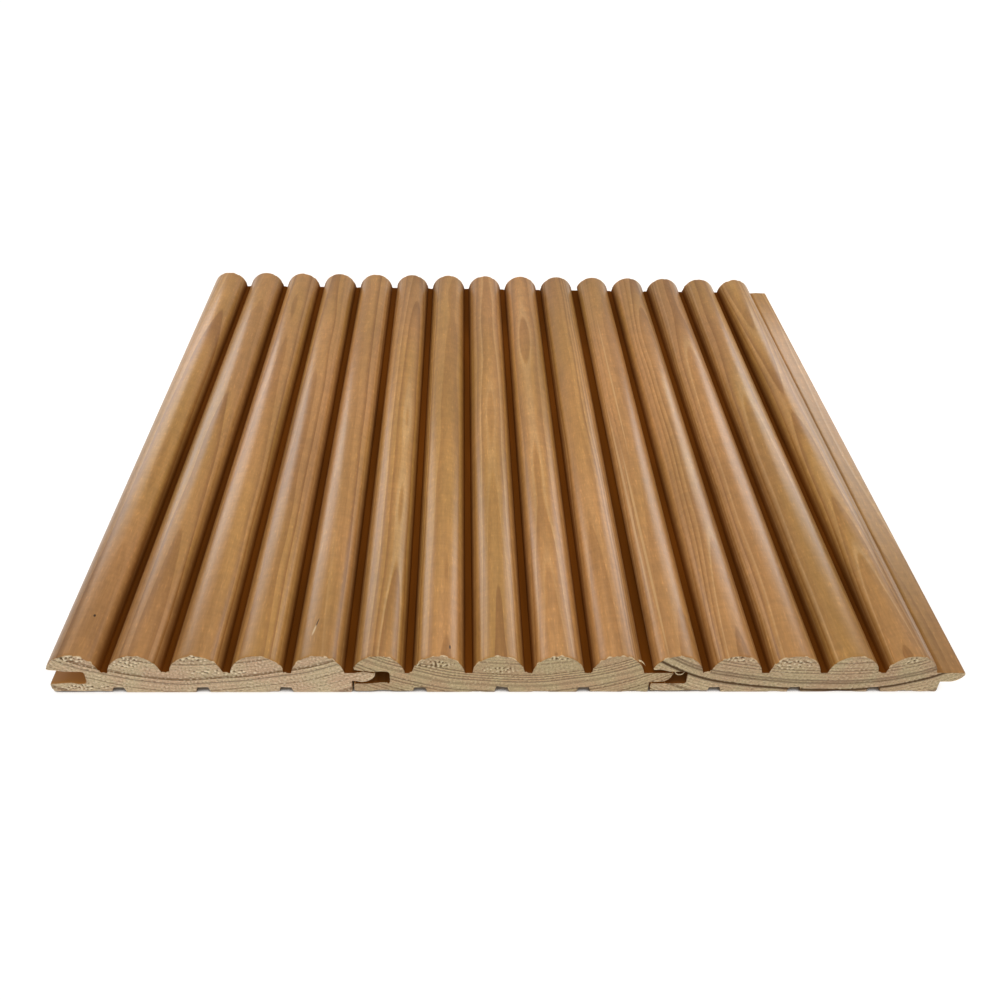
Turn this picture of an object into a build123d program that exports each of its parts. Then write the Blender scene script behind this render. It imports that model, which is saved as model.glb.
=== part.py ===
"""Beaded pine panel: three tongue-and-groove lining boards slotted together edge to edge.

X runs across the boards, Y along their grain, and Z up from the underside to the bead crests.
The origin is on the underside, at the middle of the panel's overall width and length.
All three boards are run from the same section, which is drawn once, with its own X counted
from the line that halves the valley in front of the first bead. Sizes are in millimetres.
"""

import os

from build123d import *

# Panel
BOARD_NAMES = ("board_left", "board_middle", "board_right")
BOARD_LENGTH = 330.0
BOARD_THICKNESS = 19.0  # underside to bead crest

# Beaded face
BEADS_PER_BOARD = 5
BEAD_PITCH = 22.4
VALLEY_WIDTH = 2.4  # between two beads where they are widest

# Tongue on the right-hand edge, with its top in line with the valley floors
SHOULDER_REACH = 1.2  # last valley's middle line to the shoulder under the tongue
SHOULDER_ROUND = 0.8
TONGUE_THICKNESS = 5.0
TONGUE_STRAIGHT = 3.4  # flat part of the tongue's underside, next to the shoulder
TONGUE_SWEEP = 5.4  # rest of its underside, which curves up to the tip
TONGUE_TIP_FLAT = 0.5
TONGUE_TIP_ROUND = 0.9

# Groove in the left-hand edge, sized from the tongue that enters it
CLEARANCE_ABOVE_TONGUE = 0.4
CLEARANCE_BELOW_TONGUE = 0.6
CLEARANCE_AT_TONGUE_TIP = 5.2
CLEARANCE_AT_SHOULDER = 0.5  # shoulder to the next board's lower lip
GROOVE_CORNER_ROUND = 1.0
LEAD_IN_LENGTH = 8.5  # outer part of the groove's roof, which slopes up to the mouth
LEAD_IN_RISE = 1.4
LOWER_LIP_THICKNESS = 4.1
LOWER_LIP_RELIEF = 0.6  # lower lip stands this far off the wall behind the board
LOWER_LIP_ROUND = 1.0  # at the back of the lower lip
MOUTH_ROUND = 0.8  # on both lips, where the tongue enters

# Relief grooves along the back, which keep a wide board from cupping
RELIEF_GROOVES = 3
RELIEF_SPACING = 31.0
RELIEF_DEPTH = 2.4
RELIEF_WIDTH = 3.8  # at its flat top
RELIEF_FLARE = 0.8  # each side of the mouth wider than the top

# Levels, built up from the underside
groove_floor_z = LOWER_LIP_RELIEF + LOWER_LIP_THICKNESS
tongue_under_z = groove_floor_z + CLEARANCE_BELOW_TONGUE
valley_floor_z = tongue_under_z + TONGUE_THICKNESS
groove_roof_z = valley_floor_z + CLEARANCE_ABOVE_TONGUE
mouth_roof_z = groove_roof_z + LEAD_IN_RISE
bead_radius = (BEAD_PITCH - VALLEY_WIDTH) / 2
bead_centre_z = BOARD_THICKNESS - bead_radius

# Places across a board
cover_width = BEADS_PER_BOARD * BEAD_PITCH
tongue_length = TONGUE_STRAIGHT + TONGUE_SWEEP
shoulder_x = cover_width + SHOULDER_REACH
tongue_tip_x = shoulder_x + tongue_length
groove_end_x = SHOULDER_REACH + tongue_length + CLEARANCE_AT_TONGUE_TIP
lower_lip_x = SHOULDER_REACH + CLEARANCE_AT_SHOULDER
back_middle_x = (lower_lip_x + shoulder_x) / 2
first_relief_x = back_middle_x - RELIEF_SPACING * (RELIEF_GROOVES - 1) / 2

# One half-round bead, kept down to the valley floor, about its own centre
with BuildSketch() as bead:
    Circle(bead_radius)
    split(bisect_by=Plane.XZ.offset(bead_centre_z - valley_floor_z), keep=Keep.BOTTOM)

# Tongue, from the shoulder to its rounded tip
with BuildSketch() as tongue:
    with BuildLine():
        top = Line((shoulder_x, valley_floor_z), (tongue_tip_x, valley_floor_z))
        tip = Line(top @ 1, top @ 1 - (0, TONGUE_TIP_ROUND + TONGUE_TIP_FLAT))
        under = Line((shoulder_x, tongue_under_z), (shoulder_x + TONGUE_STRAIGHT, tongue_under_z))
        TangentArc(under @ 1, tip @ 1, tangent=(1, 0))
        Line(under @ 0, top @ 0)
    make_face()
    fillet(tongue.vertices().sort_by_distance(top @ 1)[0], TONGUE_TIP_ROUND)

# Groove that takes the next board's tongue, open at the line of the first valley
with BuildSketch() as groove:
    with BuildLine():
        Polyline(
            (0, groove_floor_z),
            (groove_end_x, groove_floor_z),
            (groove_end_x, groove_roof_z),
            (LEAD_IN_LENGTH, groove_roof_z),
            (0, mouth_roof_z),
            close=True,
        )
    make_face()
    fillet(groove.vertices().group_by(Axis.X)[-1], GROOVE_CORNER_ROUND)

# One relief groove, with its mouth on the line of the underside
with BuildSketch() as relief:
    with BuildLine():
        Polyline(
            (-RELIEF_WIDTH / 2 - RELIEF_FLARE, 0),
            (RELIEF_WIDTH / 2 + RELIEF_FLARE, 0),
            (RELIEF_WIDTH / 2, RELIEF_DEPTH),
            (-RELIEF_WIDTH / 2, RELIEF_DEPTH),
            close=True,
        )
    make_face()

# Whole section of a board
with BuildSketch() as section:
    with Locations((lower_lip_x, 0)):
        Rectangle(shoulder_x - lower_lip_x, valley_floor_z, align=Align.MIN)
    fillet(section.vertices().sort_by_distance((shoulder_x, 0))[0], SHOULDER_ROUND)
    add(tongue.sketch)
    with Locations((cover_width / 2, bead_centre_z)):
        with GridLocations(BEAD_PITCH, 0, BEADS_PER_BOARD, 1):
            add(bead.sketch)
    add(groove.sketch, mode=Mode.SUBTRACT)
    with Locations((lower_lip_x, 0)):
        Rectangle(first_relief_x - lower_lip_x, LOWER_LIP_RELIEF, align=Align.MIN, mode=Mode.SUBTRACT)
    with Locations((back_middle_x, 0)):
        with GridLocations(RELIEF_SPACING, 0, RELIEF_GROOVES, 1):
            add(relief.sketch, mode=Mode.SUBTRACT)
    fillet(section.vertices().sort_by_distance((0, mouth_roof_z))[0], MOUTH_ROUND)
    fillet(section.vertices().sort_by_distance((0, groove_floor_z))[0], MOUTH_ROUND)
    fillet(section.vertices().sort_by_distance((0, 0))[0], LOWER_LIP_ROUND)

# The boards, each a run of that section, with every tongue in the next board's groove
outer_lip_x = section.sketch.bounding_box().min.X
overall_width = (len(BOARD_NAMES) - 1) * cover_width + tongue_tip_x - outer_lip_x
os.makedirs("parts", exist_ok=True)
for index, board_name in enumerate(BOARD_NAMES):
    board_x = index * cover_width - outer_lip_x - overall_width / 2
    far_end = Plane(origin=(board_x, BOARD_LENGTH / 2, 0), x_dir=(1, 0, 0), z_dir=(0, -1, 0))
    with BuildPart() as board:
        with BuildSketch(far_end):
            add(section.sketch)
        extrude(amount=BOARD_LENGTH)
    board.part.label = board_name
    export_step(board.part, f"parts/{board_name}.step")
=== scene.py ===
"""Looks of the beaded pine panel: three stained lining boards with raw, sawn ends.

Every board is run from one section and takes its grain from the place that it had in its tree:
each vertex knows how many growth rings lie between it and the pith. Sizes are in metres, in the
panel's own frame: X across the boards, Y along their grain, Z up from the underside.
"""

import functools
import logging
import math
from dataclasses import dataclass
from enum import Enum

import bpy
import numpy as np
from mathutils import Matrix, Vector
from mathutils.geometry import delaunay_2d_cdt


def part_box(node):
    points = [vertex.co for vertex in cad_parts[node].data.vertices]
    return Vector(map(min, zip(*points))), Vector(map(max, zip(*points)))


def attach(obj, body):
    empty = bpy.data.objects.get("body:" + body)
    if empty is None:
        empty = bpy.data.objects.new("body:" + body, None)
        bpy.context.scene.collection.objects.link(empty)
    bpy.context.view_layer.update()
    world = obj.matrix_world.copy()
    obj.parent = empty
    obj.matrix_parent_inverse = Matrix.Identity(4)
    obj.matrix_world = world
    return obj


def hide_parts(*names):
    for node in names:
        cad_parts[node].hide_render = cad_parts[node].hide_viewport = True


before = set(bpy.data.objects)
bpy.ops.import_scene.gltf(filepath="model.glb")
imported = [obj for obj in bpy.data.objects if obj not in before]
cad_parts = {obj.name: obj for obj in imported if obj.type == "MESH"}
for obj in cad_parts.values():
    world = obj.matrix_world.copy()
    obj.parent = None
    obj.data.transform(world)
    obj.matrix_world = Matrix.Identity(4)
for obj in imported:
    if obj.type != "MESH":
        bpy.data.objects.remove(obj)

MM = 0.001
BODY = "root"
FULL_TURN = 2 * math.pi
SHARP_EDGE = math.radians(38)
HAIR = 0.01 * MM  # allowance when a point is told from a level

Socket = bpy.types.NodeSocket
Feed = Socket | float | tuple  # what the input of a node takes

log = logging.getLogger("beaded_panel")


class Trait(str, Enum):
    """What a vertex of a board knows about the wood there."""

    RINGS = "rings"  # growth rings between the pith and here
    # shelter sets the pooled stain and painted shade in valleys and grooves, and painted light inside an
    # open groove
    SHELTER = "shelter"  # 0 in the open, 1 on the floor of a valley, -1 inside an open groove
    WORN = "worn"  # 1 where the arris has lost its stain
    TEAR = "tear"  # 1 on a torn fibre, -1 in the pit that it left


class MarkKind(Enum):
    """Small marks on the stained face."""

    RESIN_DOT = "resin dot"
    NICK = "nick"
    STREAK = "streak"


class SawnEnd(Enum):
    """The two sawn ends of a board, with the way that each one faces along Y."""

    FRONT = -1
    BACK = 1


class Reach(Enum):
    """What a lamp lights: everything, or only the matt colour and not the sheen."""

    ALL = "all"
    MATT = "matt"


def straight(start: tuple, end: tuple, spacing: float) -> np.ndarray:
    """Points along a straight line: start plus an even share of the way to the end.

    Args:
        start: First point, which is kept.
        end: Last point, which is left to the next run of the outline.
        spacing: Greatest distance between two points.

    Returns:
        Points as rows of x and z.
    """
    first = np.array(start, dtype=float)
    way = np.array(end, dtype=float) - first
    steps = max(1, math.ceil(np.linalg.norm(way) / spacing))
    return first + way * (np.arange(steps) / steps)[:, None]


def bend(centre: tuple, radius: float, first: float, last: float, spacing: float) -> np.ndarray:
    """Points along an arc: the centre plus the radius turned evenly from one angle to the other.

    Args:
        centre: Middle of the arc.
        radius: Its radius.
        first: Angle in degrees of the first point, which is kept.
        last: Angle in degrees of the last point, which is left to the next run.
        spacing: Greatest distance between two points, measured along the arc.

    Returns:
        Points as rows of x and z.
    """
    sweep = math.radians(last - first)
    steps = max(2, math.ceil(abs(sweep) * radius / spacing))
    angle = math.radians(first) + sweep * np.arange(steps) / steps
    return np.array(centre) + radius * np.stack([np.cos(angle), np.sin(angle)], axis=1)


def ease(value: np.ndarray, low: float, high: float) -> np.ndarray:
    """Smooth step: 0 below low, 1 above high, and a cubic between them."""
    share = np.clip((value - low) / (high - low), 0.0, 1.0)
    return share * share * (3.0 - 2.0 * share)


@dataclass(frozen=True)
class BoardSection:
    """Section of one lining board, with x counted from the valley before its first bead."""

    thickness: float = 19.0 * MM
    beads: int = 5
    bead_pitch: float = 22.4 * MM
    bead_radius: float = 10.0 * MM
    valley_floor: float = 10.3 * MM
    shoulder: float = 113.2 * MM
    shoulder_round: float = 0.8 * MM
    tongue_under: float = 5.3 * MM
    tongue_straight: float = 3.4 * MM
    tongue_sweep: float = 5.4 * MM
    tongue_tip_flat: float = 0.5 * MM
    tongue_tip_round: float = 0.9 * MM
    groove_floor: float = 4.7 * MM
    groove_roof: float = 10.7 * MM
    groove_end: float = 15.2 * MM
    groove_round: float = 1.0 * MM
    lead_in_length: float = 8.5 * MM
    lead_in_rise: float = 1.4 * MM
    lower_lip: float = 1.7 * MM
    lower_lip_relief: float = 0.6 * MM
    lower_lip_round: float = 1.0 * MM
    mouth_round: float = 0.8 * MM
    relief_middles: tuple = (26.45 * MM, 57.45 * MM, 88.45 * MM)
    relief_depth: float = 2.4 * MM
    relief_half_width: float = 1.9 * MM
    relief_flare: float = 0.8 * MM
    line_spacing: float = 2.0 * MM
    arc_spacing: float = 0.6 * MM

    @property
    def bead_centre(self) -> float:
        """Level of the beads' centres."""
        return self.thickness - self.bead_radius

    @property
    def cover_width(self) -> float:
        """Width that one board adds to the panel."""
        return self.beads * self.bead_pitch

    @property
    def crests(self) -> np.ndarray:
        """Places of the bead crests across the board."""
        return (np.arange(self.beads) + 0.5) * self.bead_pitch

    @property
    def bead_foot(self) -> float:
        """Angle in degrees, above the level of its centre, at which a bead meets the valley floor."""
        return math.degrees(math.asin((self.valley_floor - self.bead_centre) / self.bead_radius))

    @property
    def lead_in_slope(self) -> float:
        """Angle in degrees at which the groove's roof rises to its mouth."""
        return math.degrees(math.atan2(self.lead_in_rise, self.lead_in_length))

    @property
    def lip_centre(self) -> np.ndarray:
        """Centre of the upper lip's round, on a line above the sloping roof and inside the first bead.

        Returns:
            Its x and z.
        """
        slope = math.radians(self.lead_in_slope)
        along = np.array([math.cos(slope), -math.sin(slope)])
        above = np.array([math.sin(slope), math.cos(slope)])
        bead = np.array([self.bead_pitch / 2, self.bead_centre])
        start = np.array([0.0, self.groove_roof + self.lead_in_rise]) + self.mouth_round * above
        half = (start - bead) @ along
        rest = (start - bead) @ (start - bead) - (self.bead_radius - self.mouth_round) ** 2
        return start - (half + math.sqrt(half**2 - rest)) * along

    @property
    def left_edge(self) -> float:
        """Leftmost x of the section, on one of the groove's two lips."""
        return min(self.lower_lip, self.lip_centre[0] - self.mouth_round)

    def outline(self) -> np.ndarray:
        """Closed outline, anticlockwise from the back of the lower lip.

        Returns:
            Points as rows of x and z, each given once.
        """
        return np.concatenate([*self._back(), *self._tongue(), *self._face(), *self._groove()])

    def _line(self, start: tuple, end: tuple) -> np.ndarray:
        """Points along a straight run of the outline."""
        return straight(start, end, self.line_spacing)

    def _arc(self, centre: tuple, radius: float, first: float, last: float) -> np.ndarray:
        """Points along a round run of the outline."""
        return bend(centre, radius, first, last, self.arc_spacing)

    def _back(self) -> list[np.ndarray]:
        """Underside: the lower lip's round, then straight runs broken by the relief grooves.

        Returns:
            Runs of points in order.
        """
        corner = self.lower_lip_round
        middle = (self.lower_lip + corner, self.lower_lip_relief + corner)
        runs = [self._arc(middle, corner, 180, 270)]
        start = (middle[0], self.lower_lip_relief)
        for centre in self.relief_middles:
            slope = self.relief_flare * (1 - start[1] / self.relief_depth)
            walls = [
                (centre - self.relief_half_width - slope, start[1]),
                (centre - self.relief_half_width, self.relief_depth),
                (centre + self.relief_half_width, self.relief_depth),
                (centre + self.relief_half_width + self.relief_flare, 0.0),
            ]
            corners = [start, *walls]
            runs += [self._line(a, b) for a, b in zip(corners, corners[1:])]
            start = walls[-1]
        runs.append(self._line(start, (self.shoulder - self.shoulder_round, 0.0)))
        return runs

    def _tongue(self) -> list[np.ndarray]:
        """Shoulder, tongue with its swept underside and rounded tip, and the flat on top of it.

        Returns:
            Runs of points in order.
        """
        corner = self.shoulder_round
        root = self.shoulder + self.tongue_straight
        tip = root + self.tongue_sweep
        tip_low = self.valley_floor - self.tongue_tip_round - self.tongue_tip_flat
        rise = tip_low - self.tongue_under
        sweep_radius = (self.tongue_sweep**2 + rise**2) / (2 * rise)
        sweep_end = -90 + 2 * math.degrees(math.atan2(rise, self.tongue_sweep))
        nose = (tip - self.tongue_tip_round, self.valley_floor - self.tongue_tip_round)
        last_bead = self.cover_width - self.bead_pitch / 2
        foot = last_bead + self.bead_radius * math.cos(math.radians(self.bead_foot))
        return [
            self._arc((self.shoulder - corner, corner), corner, -90, 0),
            self._line((self.shoulder, corner), (self.shoulder, self.tongue_under)),
            self._line((self.shoulder, self.tongue_under), (root, self.tongue_under)),
            self._arc((root, self.tongue_under + sweep_radius), sweep_radius, -90, sweep_end),
            self._line((tip, tip_low), (tip, nose[1])),
            self._arc(nose, self.tongue_tip_round, 0, 90),
            self._line((nose[0], self.valley_floor), (foot, self.valley_floor)),
        ]

    def _face(self) -> list[np.ndarray]:
        """Beads from the last to the first, with a flat valley floor between each two.

        Returns:
            Runs of points in order.
        """
        lip_x, lip_z = self.lip_centre
        lip_angle = math.degrees(math.atan2(lip_z - self.bead_centre, lip_x - self.bead_pitch / 2))
        foot = self.bead_foot
        half = self.bead_radius * math.cos(math.radians(foot))
        runs = []
        for index in reversed(range(self.beads)):
            middle = (index + 0.5) * self.bead_pitch
            last = 180 - foot if index else lip_angle
            runs.append(self._arc((middle, self.bead_centre), self.bead_radius, foot, last))
            if index:
                left = (middle - half, self.valley_floor)
                right = (middle - self.bead_pitch + half, self.valley_floor)
                runs.append(straight(left, right, self.arc_spacing))
        lip_end = 270 - self.lead_in_slope
        runs.append(self._arc(self.lip_centre, self.mouth_round, lip_angle, lip_end))
        return runs

    def _groove(self) -> list[np.ndarray]:
        """Groove's roof, end wall and floor, then the rounded mouth of the lower lip.

        Returns:
            Runs of points in order.
        """
        corner = self.groove_round
        inner = self.groove_end - corner
        mouth = (self.lower_lip + self.mouth_round, self.groove_floor - self.mouth_round)
        top = (inner, self.groove_roof - corner)
        low = (inner, self.groove_floor + corner)
        lip_low = self.lower_lip_relief + self.lower_lip_round
        slope = math.radians(self.lead_in_slope)
        lip_foot = self.lip_centre - self.mouth_round * np.array([math.sin(slope), math.cos(slope)])
        lead_in = (self.lead_in_length, self.groove_roof)
        return [
            self._line(lip_foot, lead_in),
            self._line(lead_in, (inner, self.groove_roof)),
            self._arc(top, corner, 90, 0),
            self._line((self.groove_end, top[1]), (self.groove_end, low[1])),
            self._arc(low, corner, 0, -90),
            self._line((inner, self.groove_floor), (mouth[0], self.groove_floor)),
            self._arc(mouth, self.mouth_round, 90, 180),
            self._line((self.lower_lip, mouth[1]), (self.lower_lip, lip_low)),
        ]


@dataclass(frozen=True)
class EndGrid:
    """Net of small triangles over a board's section, for the relief of its sawn ends."""

    points: np.ndarray
    triangles: np.ndarray
    rim: int

    @classmethod
    def over(cls, outline: np.ndarray, spacing: float, margin: float) -> "EndGrid":
        """Fills an outline with a honeycomb of points and joins them into triangles.

        Args:
            outline: Closed outline as rows of x and z.
            spacing: Distance between neighbours in the honeycomb.
            margin: Least distance from the outline to a point of the honeycomb.

        Returns:
            The net, whose first points are the outline's own.
        """
        low, high = outline.min(axis=0), outline.max(axis=0)
        row_height = spacing * math.sqrt(0.75)
        rows = np.arange(low[1], high[1], row_height)
        columns = np.arange(low[0], high[0], spacing)
        x, z = np.meshgrid(columns, rows)
        x = x + (np.arange(len(rows)) % 2)[:, None] * spacing / 2
        grid = np.stack([x.ravel(), z.ravel()], axis=1)
        grid = grid[cls._inside(grid, outline, margin)]
        everything = np.concatenate([outline, grid]) / MM
        rim = len(outline)
        edges = np.stack([np.arange(rim), (np.arange(rim) + 1) % rim], axis=1)
        inside_only, allowance = 1, 1e-6
        found = delaunay_2d_cdt(everything.tolist(), edges.tolist(), [], inside_only, allowance)
        return cls(np.array(found[0]) * MM, np.array(found[2], dtype=np.int64), rim)

    @staticmethod
    def _inside(grid: np.ndarray, outline: np.ndarray, margin: float) -> np.ndarray:
        """Tells which points lie inside: an odd number of the outline's edges lies to their right.

        Args:
            grid: Points as rows of x and z.
            outline: Closed outline as rows of x and z.
            margin: Least distance from the outline.

        Returns:
            True for each point inside.
        """
        start, end = outline, np.roll(outline, -1, axis=0)
        x, z = grid[:, 0, None], grid[:, 1, None]
        crosses = (start[:, 1] > z) != (end[:, 1] > z)
        rise = np.where(end[:, 1] == start[:, 1], 1.0, end[:, 1] - start[:, 1])
        cut = start[:, 0] + (z - start[:, 1]) / rise * (end[:, 0] - start[:, 0])
        odd = (crosses & (x < cut)).sum(axis=1) % 2 == 1
        way = end - start
        offset = grid[:, None, :] - start
        share = np.clip((offset * way).sum(axis=2) / (way**2).sum(axis=1), 0, 1)
        gap = np.linalg.norm(offset - share[..., None] * way, axis=2).min(axis=1)
        return odd & (gap > margin)


@dataclass(frozen=True)
class Sway:
    """Smooth irregular field in the wood: a sum of sine waves of seeded length and phase."""

    reach: float
    across: tuple
    along: tuple
    seed: int
    waves: int = 10

    def at(self, points: np.ndarray) -> np.ndarray:
        """Field at some points: the sum of the waves, scaled so that it strays by about its reach.

        Args:
            points: Rows of x, y and z.

        Returns:
            One value a point.
        """
        rng = np.random.default_rng(self.seed)
        width = rng.uniform(*self.across, self.waves)
        length = rng.uniform(*self.along, self.waves)
        turn, phase = rng.uniform(0, FULL_TURN, (2, self.waves))
        pulse = FULL_TURN * np.stack([np.cos(turn) / width, 1 / length, np.sin(turn) / width])
        return self.reach * np.sin(points @ pulse + phase).sum(axis=1) / math.sqrt(self.waves / 2)


@dataclass(frozen=True)
class Trunk:
    """Part of the tree that a board was sawn from. Its places and the ring width are in millimetres."""

    pith: tuple  # x and z, half way along the board
    lean: tuple  # how far the pith moves in x and z for each length along Y
    ring_width: float
    seed: int
    flame_tips: tuple  # Y of a flame's tip on each bead, or None
    bold_points: tuple  # x and z of a place on each bold ring at the front end, and half its width in rings
    bow: tuple = (0.7 * MM, (60 * MM, 140 * MM), (240 * MM, 600 * MM))  # reach, waves across and along
    wave: tuple = (0.13 * MM, (14 * MM, 40 * MM), (60 * MM, 190 * MM))
    short_years: tuple = (0.45, 0.9)  # rings that good and bad years add or take, and their pace
    long_years: tuple = (0.3, 0.37)
    shift_levels: tuple = (5 * MM, 13 * MM)  # the flames' shift fades in between these levels

    def rings(self, points: np.ndarray, section: BoardSection) -> np.ndarray:
        """Growth rings from the pith, shifted at each crest so that a ring ends at its flame's tip.

        Args:
            points: Rows of x, y and z, with x as in the board's section.
            section: Section of the board.

        Returns:
            One count a point.
        """
        crests = section.crests
        along = np.array(self.flame_tips, dtype=float) * MM
        tips = np.stack([crests, along, np.full(len(crests), section.thickness)], axis=1)
        at_tips = self._count(tips)
        shift = np.nan_to_num(np.round(at_tips) - at_tips)
        steps = np.interp(points[:, 0], crests, np.arange(len(crests)))
        whole = np.floor(steps).astype(int)
        after = np.minimum(whole + 1, len(crests) - 1)
        share = ease(steps - whole, 0.0, 1.0)
        shifted = shift[whole] * (1 - share) + shift[after] * share
        return self._count(points) + shifted * ease(points[:, 2], *self.shift_levels)

    def bold_rings(self, section: BoardSection, plane: float) -> list[tuple]:
        """Bold dark rings, from a place on each.

        Args:
            section: Section of the board.
            plane: Y of the front end.

        Returns:
            The count of each ring and half its width.
        """
        places = np.array([(x * MM, plane, z * MM) for x, z, _ in self.bold_points]).reshape(-1, 3)
        halves = [half for _, _, half in self.bold_points]
        return list(zip(self.rings(places, section).tolist(), halves))

    def _count(self, points: np.ndarray) -> np.ndarray:
        """Rings before the shift: the distance from a leaning, swaying axis over an uneven ring width.

        Args:
            points: Rows of x, y and z.

        Returns:
            One count a point.
        """
        x, y, z = points.T
        across = x - self.pith[0] * MM - self.lean[0] * y
        up = z - self.pith[1] * MM - self.lean[1] * y
        bow = Sway(*self.bow, self.seed)
        wave = Sway(*self.wave, self.seed + 1)
        count = (np.hypot(across, up) + bow.at(points) + wave.at(points)) / (self.ring_width * MM)
        short = self.short_years[0] * np.sin(count * self.short_years[1])
        return count + short + self.long_years[0] * np.sin(count * self.long_years[1] + self.seed)


@dataclass(frozen=True)
class Mark:
    """Small mark on the face: an oval seen from above, turned about the vertical. In millimetres."""

    kind: MarkKind
    x: float
    y: float
    half_length: float
    half_width: float
    turn: float = 0.0


@dataclass(frozen=True)
class TornPatch:
    """Patch of a sawn end where the saw tore the fibres, as an oval in the section. In millimetres."""

    x: float
    z: float
    half_width: float
    half_height: float


class NodeBench:
    """Lays the nodes of one tree and joins them up."""

    def __init__(self, tree: bpy.types.NodeTree) -> None:
        """Starts from an empty tree."""
        self.tree = tree
        tree.nodes.clear()

    def add(self, kind: str, inputs: dict | None = None, **settings: object) -> bpy.types.Node:
        """Adds a node.

        Args:
            kind: Blender's name of the node's type.
            inputs: Values or sockets, by the name or number of the input that they feed.
            settings: The node's own options.

        Returns:
            The node.
        """
        node = self.tree.nodes.new(kind)
        for key, value in settings.items():
            setattr(node, key, value)
        for key, value in (inputs or {}).items():
            self._feed(node.inputs[key], value)
        return node

    def math(self, operation: str, first: Feed, second: Feed = 0.0) -> Socket:
        """Result of one sum on two numbers or sockets."""
        return self.add("ShaderNodeMath", {0: first, 1: second}, operation=operation).outputs[0]

    def most(self, *values: Feed) -> Socket:
        """Greatest of several numbers or sockets."""
        return functools.reduce(functools.partial(self.math, "MAXIMUM"), values)

    def product(self, *factors: Feed) -> Socket:
        """Product of several numbers or sockets."""
        return functools.reduce(functools.partial(self.math, "MULTIPLY"), factors)

    def step(self, value: Feed, low: float, high: float, start: float = 0.0, end: float = 1.0) -> Socket:
        """Smooth step from start to end as a value goes from low to high."""
        inputs = {"Value": value, "From Min": low, "From Max": high, "To Min": start, "To Max": end}
        return self.add("ShaderNodeMapRange", inputs, interpolation_type="SMOOTHSTEP").outputs[0]

    def vector(self, operation: str, first: Feed, second: Feed) -> bpy.types.NodeOutputs:
        """Outputs of one sum on two vectors or colours."""
        return self.add("ShaderNodeVectorMath", {0: first, 1: second}, operation=operation).outputs

    def trait(self, trait: Trait) -> Socket:
        """Value that the vertices carry."""
        return self.add("ShaderNodeAttribute", attribute_name=trait.value).outputs["Fac"]

    def place(self) -> Socket:
        """Place in the panel's frame."""
        return self.add("ShaderNodeTexCoord").outputs["Object"]

    def chance(self, number: Socket, start: float) -> Socket:
        """Fixed chance from 0 to 1 for each whole number, drawn from its own start."""
        inputs = {"W": self.math("ADD", number, start)}
        return self.add("ShaderNodeTexWhiteNoise", inputs, noise_dimensions="1D").outputs["Value"]

    def noise(self, place: Socket, cells: tuple, detail: float = 2.0, rough: float = 0.5) -> Socket:
        """Noise from 0 to 1.

        Args:
            place: Socket of the place.
            cells: Cells in a metre along X, Y and Z.
            detail: Number of finer layers.
            rough: Share that each finer layer has of the one before.

        Returns:
            Socket of the noise.
        """
        stretched = self.add("ShaderNodeMapping", {"Vector": place, "Scale": cells}).outputs[0]
        inputs = {"Vector": stretched, "Scale": 1.0, "Detail": detail, "Roughness": rough}
        return self.add("ShaderNodeTexNoise", inputs).outputs["Fac"]

    def bands(self, count: Socket, finer: float) -> Socket:
        """Noise from 0 to 1 along one number, so many times finer than its unit."""
        inputs = {"W": count, "Scale": finer, "Detail": 2.0, "Roughness": 0.6}
        return self.add("ShaderNodeTexNoise", inputs, noise_dimensions="1D").outputs["Fac"]

    def mix(self, share: Feed, first: Feed, second: Feed) -> Socket:
        """Colour between two colours.

        Args:
            share: Share of the second colour.
            first: First colour.
            second: Second colour.

        Returns:
            Socket of the colour.
        """
        node = self.add("ShaderNodeMix", data_type="RGBA")
        sockets = {"Factor_Float": share, "A_Color": first, "B_Color": second}
        for socket in node.inputs:
            if socket.identifier in sockets:
                self._feed(socket, sockets[socket.identifier])
        return next(s for s in node.outputs if s.identifier == "Result_Color")

    def scale(self, colour: Feed, factor: Feed) -> Socket:
        """Colour times a number."""
        return self.add("ShaderNodeVectorMath", {0: colour, "Scale": factor}, operation="SCALE").outputs[0]

    def inside(self, place: Socket, mark: Mark) -> Socket:
        """Where a mark is: 1 in its middle, falling to 0 at the edge of its oval.

        Args:
            place: Socket of the place.
            mark: The mark.

        Returns:
            Socket of the share.
        """
        inputs = {
            "Vector": place,
            "Location": (mark.x * MM, mark.y * MM, 0.0),
            "Rotation": (0.0, 0.0, math.radians(mark.turn)),
            "Scale": (mark.half_width * MM, mark.half_length * MM, 1.0),
        }
        local = self.add("ShaderNodeMapping", inputs, vector_type="TEXTURE").outputs[0]
        away = self.add("ShaderNodeVectorMath", {0: local}, operation="LENGTH").outputs["Value"]
        return self.step(away, 0.5, 1.0, 1.0, 0.0)

    def bump(self, height: Socket, depth: float) -> Socket:
        """Normal of a surface with some relief, so many metres deep."""
        inputs = {"Height": height, "Distance": depth, "Strength": 1.0}
        return self.add("ShaderNodeBump", inputs).outputs[0]

    def surface(self, inputs: dict) -> None:
        """Ends the tree with the usual shader, fed by these inputs."""
        shader = self.add("ShaderNodeBsdfPrincipled", inputs)
        self.add("ShaderNodeOutputMaterial", {"Surface": shader.outputs[0]})

    def _feed(self, socket: Socket, value: Feed) -> None:
        """Joins a socket to an input, or sets the input to a value."""
        if isinstance(value, Socket):
            self.tree.links.new(value, socket)
        else:
            socket.default_value = value


def new_material(name: str) -> tuple[bpy.types.Material, NodeBench]:
    """Starts a material.

    Args:
        name: Name of the material.

    Returns:
        The material and the bench that its nodes are laid on.
    """
    material = bpy.data.materials.new(name)
    material.use_nodes = True
    return material, NodeBench(material.node_tree)


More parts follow.
